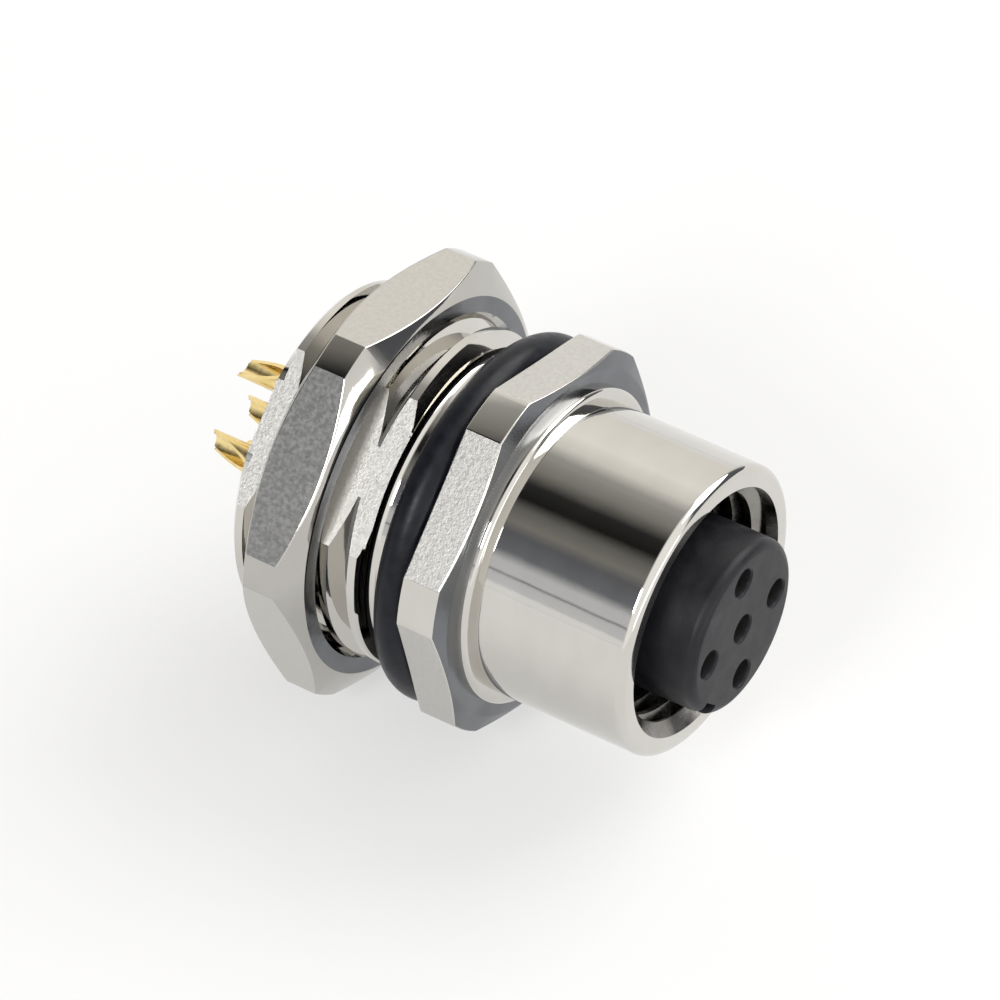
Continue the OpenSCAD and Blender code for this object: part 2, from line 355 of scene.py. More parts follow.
TURNED_NICKEL = Finish(
    name="nickel_turned",
    dark=(0.600, 0.583, 0.545),
    light=(0.622, 0.605, 0.568),
    metallic=1.0,
    smooth=0.045,
    rough=0.075,
    blotch=Grain(size=1.2, stretch=(2.0, 1.0, 2.0), detail=3.0),
    relief=(
        Grain(size=0.1, stretch=(60.0, 1.0, 60.0), detail=1.0, height=0.00016),
        Grain(size=0.6, stretch=(1.0, 1.6, 1.0), detail=2.0, height=0.0022),
    ),
)
# The nut's turned nickel, about a quarter darker than the shell's: painted shade that stands in for the
# darker reflections on the nut's cones.
NUT_PAINTED_SHADE_NICKEL = replace(
    TURNED_NICKEL,
    name="nickel_turned_nut",
    dark=(0.468, 0.455, 0.425),
    light=(0.485, 0.472, 0.443),
)
# Front faces of the nut and flange, and the flange's front cone: a much darker colour than the turned
# nickel. This is a painted dark reflection that stands in for the dark surroundings these faces mirror.
PAINTED_DARK_REFLECTION_NICKEL = Finish(
    name="nickel_faced",
    dark=(0.14, 0.146, 0.158),
    light=(0.19, 0.196, 0.208),
    metallic=1.0,
    smooth=0.16,
    rough=0.26,
    blotch=Grain(size=2.4, detail=1.0),
    relief=(Grain(size=0.5, detail=1.0, height=0.006),),
)
# Inside of the coupling bore: much darker nickel, painted shade for the recess of the mouth.
BORE_PAINTED_SHADE_NICKEL = Finish(
    name="nickel_bored",
    dark=(0.20, 0.19, 0.175),
    light=(0.30, 0.29, 0.27),
    metallic=1.0,
    smooth=0.18,
    rough=0.28,
    blotch=Grain(size=1.0, detail=2.0),
    relief=(Grain(size=0.3, detail=1.0, height=0.004),),
)
MILLED_NICKEL = Finish(
    name="nickel_milled",
    dark=(0.63, 0.62, 0.59),
    light=(0.69, 0.68, 0.65),
    metallic=0.95,
    smooth=0.38,
    rough=0.48,
    blotch=Grain(size=0.16, detail=2.0),
    relief=(Grain(size=0.11, detail=1.0, height=0.007), Grain(size=0.4, height=0.008)),
)
HEX_NICKEL = replace(
    MILLED_NICKEL, name="nickel_milled_hex", dark=(0.53, 0.52, 0.495), light=(0.58, 0.57, 0.545)
)
DRAWN_NICKEL = Finish(
    name="nickel_drawn",
    dark=(0.552, 0.538, 0.502),
    light=(0.589, 0.575, 0.538),
    metallic=1.0,
    smooth=0.18,
    rough=0.24,
    blotch=Grain(size=0.2, detail=2.0),
    relief=(Grain(size=0.14, stretch=(1.0, 1.5, 1.0), detail=1.0, height=0.0018),),
)
SEAL_RUBBER = Finish(
    name="rubber_black",
    dark=(0.004, 0.0045, 0.007),
    light=(0.008, 0.009, 0.013),
    metallic=0.0,
    smooth=0.30,
    rough=0.42,
    blotch=Grain(size=0.6, detail=3.0),
    relief=(Grain(size=0.15, detail=3.0, height=0.006),),
    specular=0.2,
)
MOULDED_PLASTIC = Finish(
    name="plastic_dark",
    dark=(0.010, 0.0102, 0.0125),
    light=(0.015, 0.0153, 0.0185),
    metallic=0.0,
    smooth=0.36,
    rough=0.46,
    blotch=Grain(size=0.8, detail=3.0),
    relief=(Grain(size=0.1, detail=3.0, height=0.004),),
    specular=0.2,
)
GOLD_PLATE = Finish(
    name="gold_plate",
    dark=(0.80, 0.61, 0.25),
    light=(0.90, 0.72, 0.36),
    metallic=1.0,
    smooth=0.22,
    rough=0.32,
    blotch=Grain(size=0.5, detail=2.0),
    relief=(Grain(size=0.2, stretch=(1.0, 3.0, 1.0), detail=1.0, height=0.0012),),
)


def points_at(radius: np.ndarray, angle: np.ndarray, place: np.ndarray) -> np.ndarray:
    """Turns radii, angles in radians and places in millimetres into rows of points in metres."""
    radius, angle, place = np.broadcast_arrays(radius, angle, place)
    return np.stack([radius * np.cos(angle), -place, radius * np.sin(angle)], axis=-1) * MM


def link(made: Piece) -> None:
    """Puts an object into the scene."""
    bpy.context.scene.collection.objects.link(made)


def mesh_object(
    name: str, points: Sequence, faces: Sequence[Sequence[int]], material: Material
) -> Piece:
    """Makes a mesh object at the origin.

    Args:
        name: Name of the object and its mesh.
        points: Points in metres.
        faces: Point numbers of each face.
        material: Its first material.

    Returns:
        The object, linked to the scene.
    """
    mesh = bpy.data.meshes.new(name)
    mesh.from_pydata([tuple(p) for p in points], [], [tuple(f) for f in faces])
    mesh.materials.append(material)
    made = bpy.data.objects.new(name, mesh)
    link(made)
    return made


def settle(piece: Piece) -> None:
    """Turns what a piece's modifiers make into its plain mesh, and removes them.

    Args:
        piece: The piece to settle.
    """
    bpy.context.view_layer.update()
    graph = bpy.context.evaluated_depsgraph_get()
    made = bpy.data.meshes.new_from_object(
        piece.evaluated_get(graph), preserve_all_data_layers=True, depsgraph=graph
    )
    old = piece.data
    piece.modifiers.clear()
    piece.data = made
    bpy.data.meshes.remove(old)
    made.name = piece.name


def run_rule(
    piece: Piece, name: str, given: dict[str, object], fill: Callable[[Tree], None]
) -> None:
    """Runs a Geometry Nodes tree on a piece and keeps what it makes as a plain mesh.

    Args:
        piece: The piece to change.
        name: Name of the tree.
        given: Name and value of each of the tree's inputs.
        fill: Fills the tree, which has its inputs by then.
    """
    tree = bpy.data.node_groups.new(name, "GeometryNodeTree")
    face = tree.interface
    face.new_socket("Geometry", in_out="INPUT", socket_type="NodeSocketGeometry")
    keys = {}
    for label, value in given.items():
        kind = next(k for sort, k in SOCKET_KINDS.items() if isinstance(value, sort))
        keys[label] = face.new_socket(label, in_out="INPUT", socket_type=kind).identifier
    face.new_socket("Geometry", in_out="OUTPUT", socket_type="NodeSocketGeometry")
    fill(tree)
    modifier = piece.modifiers.new(name, "NODES")
    modifier.node_group = tree
    for label, value in given.items():
        modifier[keys[label]] = value
    settle(piece)


def face_outwards(piece: Piece) -> None:
    """Merges a closed mesh's doubles and turns its faces outwards.

    Args:
        piece: The piece, which holds no modifier.
    """
    work = bmesh.new()
    work.from_mesh(piece.data)
    bmesh.ops.remove_doubles(work, verts=work.verts, dist=MERGE_MM * MM)
    bmesh.ops.dissolve_degenerate(work, edges=work.edges, dist=MERGE_MM * MM)
    bmesh.ops.recalc_face_normals(work, faces=work.faces)
    work.to_mesh(piece.data)
    work.free()


@dataclass(frozen=True)
class Plane:
    """A milled plane that faces away from the axis.

    Attributes:
        turn: Direction that it faces, in degrees.
        distance: Distance from the axis in millimetres.
    """

    turn: float
    distance: float

    def limit(self, angles: np.ndarray) -> np.ndarray:
        """Radius at which the plane cuts each angle's half-plane.

        Args:
            angles: Angles in radians.

        Returns:
            Radii in millimetres, huge where the plane faces away.
        """
        facing = np.cos(angles - math.radians(self.turn))
        radii = self.distance / np.maximum(facing, LEAST_FACING)
        return np.where(facing > LEAST_FACING, radii, FAR_MM)

    def edges(self, radius: float) -> list[float]:
        """Angles in degrees at which the plane meets a circle of this radius."""
        half = math.degrees(math.acos(self.distance / radius))
        return [self.turn - half, self.turn + half]

    def holds(self, centre: Vector, normal: Vector) -> bool:
        """Whether a face lies in the plane.

        Args:
            centre: The face's centre in metres.
            normal: The face's normal.

        Returns:
            True if it lies there and faces the same way.
        """
        turn = math.radians(self.turn)
        facing = Vector((math.cos(turn), 0.0, math.sin(turn)))
        off = abs(centre.dot(facing) / MM - self.distance)
        return off < ON_SURFACE_MM and normal.dot(facing) > SAME_WAY


@dataclass(frozen=True)
class EndFace:
    """A faced end, square to the axis, and with some depth also the cone that runs out from it.

    Attributes:
        place: Its place along the axis in millimetres.
        depth: How far from that place its surfaces reach.
        facing: Least share of a surface's normal that lies along the axis.
    """

    place: float
    depth: float = 0.01
    facing: float = SAME_WAY

    def holds(self, centre: Vector, normal: Vector) -> bool:
        """Whether a face with this centre, in metres, and normal lies in the end."""
        return abs(-centre.y / MM - self.place) < self.depth and abs(normal.y) > self.facing


@dataclass(frozen=True)
class BoreWall:
    """The inside of a bore, threaded or plain.

    Attributes:
        radius: Its largest radius in millimetres.
        low: Place of its rear end.
        high: Place of its front end.
    """

    radius: float
    low: float
    high: float

    def holds(self, centre: Vector, normal: Vector) -> bool:
        """Whether a face with this centre, in metres, and normal lies in the bore."""
        out = Vector((centre.x, 0.0, centre.z))
        within = out.length / MM < self.radius + ON_SURFACE_MM
        return within and self.low < -centre.y / MM < self.high and normal.dot(out) < 0.0


def column_angles(exact: Iterable[float]) -> np.ndarray:
    """Angles of a turned mesh's columns.

    Args:
        exact: Angles in degrees that must be among them.

    Returns:
        Sorted angles in radians, from 0 up to less than a full turn.
    """
    angles = [*np.arange(0.0, 360.0, COLUMN_STEP), *np.arange(*FINE_COLUMNS)]
    wanted = sorted(a % 360 for a in exact)
    kept = [a for a in angles if all(abs(a - w) > COLUMN_GAP for w in wanted)]
    return np.radians(sorted(set(np.round(kept + wanted, 6))))


@dataclass(frozen=True)
class Hexagon:
    """A hexagonal bar with turned corners.

    Attributes:
        across_flats: Width across the flats.
        turned_r: Radius of its turned corners.
        turn: Direction of its first corner in degrees.
    """

    across_flats: float
    turned_r: float
    turn: float

    @property
    def planes(self) -> list[Plane]:
        """Its six planes."""
        return [Plane(self.turn + 30 + 60 * i, self.across_flats / 2) for i in range(6)]

    def edges(self) -> list[float]:
        """Angles in degrees at which its planes meet its turned corners."""
        return [a for plane in self.planes for a in plane.edges(self.turned_r)]

    def outline(self, angles: np.ndarray) -> np.ndarray:
        """Its radius at some angles in radians."""
        limits = [plane.limit(angles) for plane in self.planes]
        return np.minimum.reduce(limits, initial=self.turned_r)


@dataclass(frozen=True)
class Thread:
    """A thread's form, which runs along its helix.

    Attributes:
        side: Outer or inner thread.
        pitch: Pitch.
        crest: Radius of the crests.
        root: Radius of the roots.
        groove: Place of a groove's middle at angle 0.
        low: Place of its rear end.
        high: Place of its front end.
        low_radius: Radius at which a 45 degree chamfer meets the rear end.
        high_radius: Radius at which a 45 degree chamfer meets the front end.
        root_width: Width of the flat root.
        flat: Milled plane that cuts the thread, if there is one.
        flank: Angle of a flank to the radius in degrees.
        flank_rows: Rows of points on each flank.
    """

    side: Side
    pitch: float
    crest: float
    root: float
    groove: float
    low: float
    high: float
    low_radius: float
    high_radius: float
    root_width: float
    flat: Plane = Plane(0.0, 500.0)
    flank: float = 30.0
    flank_rows: int = 3

    def phases(self, angles: np.ndarray) -> list[np.ndarray]:
        """Places of one pitch's rows, counted from a groove's middle.

        A flank's last row lies where the crest or the milled plane cuts it off.

        Args:
            angles: The columns' angles in radians.

        Returns:
            Rising places for each column, less than a pitch apart.
        """
        half = self.root_width / 2
        depth = abs(self.crest - self.root)
        standing = np.clip(self.flat.limit(angles) - min(self.crest, self.root), 0.0, depth)
        run = standing * math.tan(math.radians(self.flank))
        up = [half + run * i / self.flank_rows for i in range(self.flank_rows + 1)]
        down = [self.pitch - p for p in reversed(up)]
        return up + down

    def rows(self, angles: np.ndarray) -> tuple[np.ndarray, int]:
        """Places of all rows at all columns, between two rows that stand at the ends.

        Args:
            angles: The columns' angles in radians.

        Returns:
            Places with a row for each row, and the number of rows in a pitch.
        """
        phases = self.phases(angles)
        share = angles / FULL_TURN * self.pitch
        first = math.floor((self.low - self.groove) / self.pitch) - SPARE_PITCHES
        last = math.ceil((self.high - self.groove) / self.pitch) + SPARE_PITCHES
        starts = [self.groove + m * self.pitch + p for m in range(first, last) for p in phases]
        grid = np.array([start + share for start in starts])
        low_edge = self.low + abs(self.crest - self.low_radius)
        high_edge = self.high - abs(self.crest - self.high_radius)
        ones = np.ones((1, len(angles)))
        parts = [self.low * ones, np.clip(grid, low_edge, high_edge), self.high * ones]
        return np.concatenate(parts), len(phases)

    def end(self, leaving: bool) -> tuple[float, float]:
        """Radius and place of one end of the stretch.

        Args:
            leaving: True for the end at which the outline leaves the thread.

        Returns:
            The end's radius and place.
        """
        if leaving == (self.side is Side.OUTER):
            return self.high_radius, self.high
        return self.low_radius, self.low


@dataclass
class ThreadRule:
    """Geometry Nodes tree that moves a mesh's threaded points onto the thread's form."""

    thread: Thread

    ATTRIBUTE = "threaded"

    def apply(self, piece: Piece, mark: int) -> None:
        """Runs the tree on the points of a piece that carry this mark.

        Args:
            piece: The piece to change.
            mark: Value of the attribute on this thread's points.
        """
        form = self.thread
        sizes = {
            "Pitch": form.pitch * MM,
            "Crest radius": form.crest * MM,
            "Thread depth": abs(form.crest - form.root) * MM,
            "Groove place": form.groove * MM,
            "Root width": form.root_width * MM,
            "Flank run": math.tan(math.radians(form.flank)),
            "Side": form.side.value,
            "Rear end": form.low * MM,
            "Front end": form.high * MM,
            "Rear radius": form.low_radius * MM,
            "Front radius": form.high_radius * MM,
            "Flat distance": form.flat.distance * MM,
            "Flat turn": math.radians(form.flat.turn),
            "Mark": float(mark),
            "Material": piece.data.materials[0],
        }
        run_rule(piece, f"{piece.name}_thread_{mark}", sizes, self.wire)

    def wire(self, tree: Tree) -> None:
        """Fills the tree.

        Args:
            tree: The tree, with its interface made.
        """
        wiring = Wiring(tree)
        given = wiring.given()
        x, y, z = wiring.split(wiring.node("GeometryNodeInputPosition").outputs[0])
        place = y * -1.0
        angle = wiring.math("ARCTAN2", z, x)
        pitch = given["Pitch"]
        turns = (place - given["Groove place"] - angle * (pitch / FULL_TURN)) / pitch
        off = wiring.math("ABSOLUTE", turns - wiring.math("ROUND", turns)) * pitch
        past = wiring.math("MAXIMUM", off - given["Root width"] * 0.5, 0.0)
        cut = wiring.math("MAXIMUM", given["Thread depth"] - past / given["Flank run"], 0.0)
        side = given["Side"]
        radius = side * given["Crest radius"] - cut
        facing = wiring.math("COSINE", angle - given["Flat turn"])
        facing = wiring.math("MAXIMUM", facing, LEAST_FACING)
        for limit in (
            side * given["Rear radius"] + (place - given["Rear end"]),
            side * given["Front radius"] + (given["Front end"] - place),
            given["Flat distance"] / facing,
        ):
            radius = wiring.math("MINIMUM", radius, limit)
        radius = radius * side
        moved = wiring.vector(
            radius * wiring.math("COSINE", angle), y, radius * wiring.math("SINE", angle)
        )
        mark = wiring.node("GeometryNodeInputNamedAttribute", {"Name": self.ATTRIBUTE})
        chosen = wiring.node(
            "FunctionNodeCompare",
            {"A": mark.outputs["Attribute"], "B": given["Mark"], "Epsilon": 0.1},
            operation="EQUAL",
        )
        inputs = {"Geometry": given["Geometry"], "Selection": chosen.outputs[0], "Position": moved}
        placed = wiring.node("GeometryNodeSetPosition", inputs)
        wiring.close(placed.outputs[0], given["Material"])


class TurnedForm:
    """Closed mesh of rings of points round the mating axis, along an outline of corners."""

    def __init__(self, angles: np.ndarray, outline: Iterable[Thread | tuple]) -> None:
        """Takes the columns and the outline.

        Args:
            angles: The columns' angles in radians.
            outline: Threaded stretches, outer ones forwards and inner ones back, and corners:
                radius and place, each one number or one for every column, and for a rounded
                corner the distance at which its rounding starts.
        """
        self.angles = angles
        self.corners = [c if isinstance(c, Thread) else self.corner(*c) for c in outline]

    def corner(
        self, radius: float | np.ndarray, place: float | np.ndarray, ease: float = 0.0
    ) -> tuple[np.ndarray, np.ndarray, float]:
        """Gives a corner a radius and a place for every column."""
        ones = np.ones_like(self.angles)
        return radius * ones, place * ones, ease

    def spot(self, index: int, leaving: bool = False) -> np.ndarray:
        """Radii and places of the corner at an index, taken round the closed outline.

        Args:
            index: Number of the corner.
            leaving: For a threaded stretch, whether the end at which it is left is asked for.

        Returns:
            Two rows: radii and places.
        """
        item = self.corners[index % len(self.corners)]
        if isinstance(item, Thread):
            item = self.corner(*item.end(leaving))
        return np.stack(item[:2])

    def rings(self, index: int, steps: int = 3) -> list[np.ndarray]:
        """Rings that stand for one corner, rounded where it is eased.

        Args:
            index: Number of the corner.
            steps: Steps of the rounding.

        Returns:
            Rings, each with a row of radii and one of places.
        """
        here = self.spot(index)
        ease = self.corners[index][2]
        if ease == 0.0:
            return [here]
        ends = []
        for other in (self.spot(index - 1, leaving=True), self.spot(index + 1)):
            way = other - here
            length = np.maximum(np.hypot(*way), 1e-9)
            ends.append(here + way * np.minimum(ease, MOST_EASED * length) / length)
        shares = [i / steps for i in range(steps + 1)]
        return [(1 - t) ** 2 * ends[0] + 2 * t * (1 - t) * here + t * t * ends[1] for t in shares]

    def build(self, name: str, material: Material) -> Piece:
        """Makes the mesh and runs the thread rules on it.

        Args:
            name: Name of the piece.
            material: Its first material.

        Returns:
            The piece, closed and facing outwards.
        """
        count = len(self.angles)
        points: list[np.ndarray] = []
        marks: list[float] = []
        faces: list[tuple[int, ...]] = []
        bands: list[tuple[int, int]] = []
        threads: list[Thread] = []
        after = np.roll(np.arange(count), -1)

        def ring(radii: np.ndarray, places: np.ndarray, mark: int) -> int:
            """Adds a ring of points and gives the number of its first."""
            points.extend(points_at(radii, self.angles, places))
            marks.extend([float(mark)] * count)
            return len(marks) - count

        def join(a: int, b: int) -> None:
            """Adds the faces between two rings."""
            faces.extend((a + j, a + after[j], b + after[j], b + j) for j in range(count))

        for index, item in enumerate(self.corners):
            if isinstance(item, Thread):
                threads.append(item)
                grid, shift = item.rows(self.angles)
                if item.side is Side.INNER:
                    grid, shift = grid[::-1], -shift
                starts = [ring(item.crest, row, len(threads)) for row in grid]
                last = len(starts) - 1
                inner = [min(max(k + shift, 1), last - 1) for k in range(1, last)]
                partners = [starts[k] for k in (0, *inner, last)]
                for k in range(last):
                    a, b = starts[k : k + 2]
                    faces.extend((a + j, a + j + 1, b + j + 1, b + j) for j in range(count - 1))
                    faces.append((a + count - 1, *partners[k : k + 2], b + count - 1))
            else:
                starts = [ring(*spots, 0) for spots in self.rings(index)]
                for a, b in zip(starts, starts[1:]):
                    join(a, b)
            bands.append((starts[0], starts[-1]))
        for here, there in zip(bands, bands[1:] + bands[:1]):
            join(here[1], there[0])
        piece = mesh_object(name, points, faces, material)
        attribute = piece.data.attributes.new(ThreadRule.ATTRIBUTE, "FLOAT", "POINT")
        attribute.data.foreach_set("value", marks)
        for number, form in enumerate(threads, start=1):
            ThreadRule(form).apply(piece, number)
        piece.data.attributes.remove(piece.data.attributes[ThreadRule.ATTRIBUTE])
        face_outwards(piece)
        return piece


def dress(
    piece: Piece,
    body: Body,
    nodes: Sequence[str],
    areas: Sequence[tuple[Finish, Sequence[Plane | EndFace | BoreWall]]] = (),
    creased: Sequence[EndFace] = (),
    sharp: float = 38.0,
) -> None:
    """Smooths a piece's faces, gives its machined areas their finishes and puts it in the frame.

    Args:
        piece: The finished mesh, faces outwards.
        body: Body that it rides on.
        nodes: CAD nodes that it stands for.
        areas: Finishes that differ from the piece's own, each with the surfaces that have it.
        creased: End faces that stay flat up to their edges.
        sharp: Angle in degrees past which an edge stays sharp.
    """
    mesh = piece.data
    mesh.shade_smooth()
    mesh.set_sharp_from_angle(angle=math.radians(sharp))
    for finish, surfaces in areas:
        mesh.materials.append(finish.material())
        for face in mesh.polygons:
            if any(surface.holds(face.center, face.normal) for surface in surfaces):
                face.material_index = len(mesh.materials) - 1
    if areas or creased:
        kinds_at: dict[int, set[int]] = {}
        for face in mesh.polygons:
            flat = any(end.holds(face.center, face.normal) for end in creased)
            kind = -1 if flat else face.material_index
            for key in face.loop_indices:
                kinds_at.setdefault(mesh.loops[key].edge_index, set()).add(kind)
        edge_sharp = mesh.attributes.get("sharp_edge") or mesh.attributes.new(
            "sharp_edge", "BOOLEAN", "EDGE"
        )
        for edge, kinds in kinds_at.items():
            if len(kinds) > 1:
                edge_sharp.data[edge].value = True
    weights = piece.modifiers.new("area_weights", "WEIGHTED_NORMAL")
    weights.keep_sharp = True
    settle(piece)
    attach(piece, body.value)
    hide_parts(*nodes)
    log.info("%s: %d faces on %s", piece.name, len(piece.data.polygons), body.value)


@dataclass
class Shell:
    """The turned shell: threaded shank, hexagonal flange, collar and sleeve."""

    flange: Hexagon = Hexagon(across_flats=17.0, turned_r=9.2, turn=45.0)
    flange_thk: float = 2.15
    flange_ease: float = 0.06
    cone_depth: float = 0.3
    cone_r: float = 8.35
    cone_ease: float = 0.05
    cone_facing: float = 0.92
    sleeve_r: float = 7.0
    rim_place: float = 10.4
    rim_chamfer: float = 0.25
    rim_ease: float = 0.16
    collar_r: float = 7.6
    collar_end: float = 2.65
    collar_ease: float = 0.28
    relief_r: float = 6.1
    floor_place: float = 2.0
    shoulder_place: float = 0.8
    foot_hole_r: float = 4.55
    bore_r: float = 6.4
    bore_break: float = 0.15
    undercut_r: float = 7.05
    undercut_ease: float = 0.38
    shank_thread: Thread = Thread(
        side=Side.OUTER,
        pitch=SHANK_PITCH,
        crest=8.0,
        root=7.18,
        groove=SHANK_GROOVE,
        low=-10.0,
        high=-2.9,
        low_radius=7.7,
        high_radius=7.9,
        root_width=0.15,
        flat=Plane(135.0, 7.08),
    )
    coupling_thread: Thread = Thread(
        side=Side.INNER,
        pitch=1.0,
        crest=5.459,
        root=6.0,
        groove=8.7,
        low=4.2,
        high=10.4,
        low_radius=5.459,
        high_radius=6.0,
        root_width=0.125,
        flank_rows=2,
    )

    def outline(self, flange: np.ndarray) -> list[Thread | tuple]:
        """Its outline: the shank forwards from the rear end, then the mouth and the bore back.

        Args:
            flange: The flange's radius at each column.

        Returns:
            The threads and corners.
        """
        shank, coupling = self.shank_thread, self.coupling_thread
        run = self.flange.turned_r - self.cone_r
        cone_start = self.flange_thk - self.cone_depth
        cone_place = cone_start + self.cone_depth * (self.flange.turned_r - flange) / run
        return [
            shank,
            (self.undercut_r, shank.high, self.undercut_ease),
            (self.undercut_r, 0.0),
            (flange, 0.0, self.flange_ease),
            (flange, cone_place, self.cone_ease),
            (self.cone_r, self.flange_thk, self.flange_ease),
            (self.collar_r, self.flange_thk),
            (self.collar_r, self.collar_end, self.collar_ease),
            (self.sleeve_r, self.collar_end),
            (self.sleeve_r, self.rim_place - self.rim_chamfer, self.rim_ease),
            (self.sleeve_r - self.rim_chamfer, self.rim_place, self.rim_ease),
            coupling,
            (self.relief_r, coupling.low),
            (self.relief_r, self.floor_place),
            (self.foot_hole_r, self.floor_place),
            (self.foot_hole_r, self.shoulder_place),
            (self.bore_r, self.shoulder_place),
            (self.bore_r, shank.low + self.bore_break),
            (self.bore_r + self.bore_break, shank.low),
        ]

    def build(self) -> Piece:
        """Makes and dresses the shell.

        Returns:
            The piece.
        """
        shank = self.shank_thread
        angles = column_angles([*self.flange.edges(), *shank.flat.edges(shank.crest)])
        form = TurnedForm(angles, self.outline(self.flange.outline(angles)))
        piece = form.build("shell_dressed", TURNED_NICKEL.material())
        areas = [
            (HEX_NICKEL, self.flange.planes),
            (MILLED_NICKEL, [shank.flat]),
            # The flange's front face and cone carry the painted dark reflection.
            (PAINTED_DARK_REFLECTION_NICKEL, [EndFace(self.flange_thk, self.cone_depth, self.cone_facing)]),
            # The bore's wall carries painted shade.
            (BORE_PAINTED_SHADE_NICKEL, [BoreWall(self.relief_r, self.floor_place, self.rim_place)]),
            (DRAWN_NICKEL, [EndFace(shank.low)]),
        ]
        dress(piece, Body.HOUSING, ["shell"], areas)
        return piece


@dataclass
class PanelSeal:
    """The rubber ring in the groove behind the flange."""

    section: float = 1.8
    middle_r: float = 7.96
    middle_place: float = -0.91
    columns: int = 240
    section_points: int = 48

    def build(self) -> Piece:
        """Makes and dresses the ring.

        Returns:
            The piece.
        """
        angles = np.linspace(0, FULL_TURN, self.columns, endpoint=False)
        half = self.section / 2
        turns = [FULL_TURN * i / self.section_points for i in range(self.section_points)]
        middle, place = self.middle_r, self.middle_place
        outline = [(middle + half * math.cos(t), place + half * math.sin(t)) for t in turns]
        form = TurnedForm(angles, outline)
        piece = form.build("panel_seal_dressed", SEAL_RUBBER.material())
        dress(piece, Body.HOUSING, ["panel_seal"])
        return piece


@dataclass
class LockNut:
    """The hexagonal lock nut with cones turned on both ends."""

    form: Hexagon = Hexagon(across_flats=19.0, turned_r=10.5, turn=51.0)
    face_r: float = 9.15
    face_ease: float = 0.07
    cone_ease: float = 0.06
    cone_angle: float = 30.0
    thread: Thread = Thread(
        side=Side.INNER,
        pitch=SHANK_PITCH,
        crest=7.30,
        root=8.05,
        groove=SHANK_GROOVE - SHANK_PITCH / 2,
        low=-8.05,
        high=-4.85,
        low_radius=8.35,
        high_radius=8.35,
        root_width=0.42,
        flank_rows=2,
    )

    def build(self) -> Piece:
        """Makes and dresses the nut.

        Returns:
            The piece.
        """
        angles = column_angles(self.form.edges())
        outer = self.form.outline(angles)
        rise = (outer - self.face_r) * math.tan(math.radians(self.cone_angle))
        rear, front = self.thread.low, self.thread.high
        outline = [
            self.thread,
            (self.face_r, rear, self.face_ease),
            (outer, rear + rise, self.cone_ease),
            (outer, front - rise, self.cone_ease),
            (self.face_r, front, self.face_ease),
        ]
        # The nut's base colour carries painted shade.
        piece = TurnedForm(angles, outline).build("lock_nut_dressed", NUT_PAINTED_SHADE_NICKEL.material())
        areas = [
            (DRAWN_NICKEL, [*self.form.planes, EndFace(rear)]),
            # The nut's front face carries the painted dark reflection.
            (PAINTED_DARK_REFLECTION_NICKEL, [EndFace(front)]),
        ]
        dress(piece, Body.NUT, ["lock_nut"], areas)
        return piece


def circle(centre: tuple[float, float], radius: float, points: int) -> np.ndarray:
    """Points round a centre across the axis, as rows of X and Z."""
    turns = np.linspace(0, FULL_TURN, points, endpoint=False)
    return np.array(centre) + radius * np.stack([np.cos(turns), np.sin(turns)], axis=1)


@dataclass(frozen=True)
class RoundWall:
    """A round wall in a moulding, of a hole or the outside, parallel to the mating axis.

    Attributes:
        centre: Its place across the axis, as X and Z.
        steps: Radius and place of each ring, from front to rear.
        points: Points in a ring.
    """

    centre: tuple[float, float]
    steps: tuple[tuple[float, float], ...]
    points: int = 32

    def rings(self) -> list[tuple[np.ndarray, float]]:
        """Points and place of each ring of its wall."""
        return [(circle(self.centre, radius, self.points), place) for radius, place in self.steps]


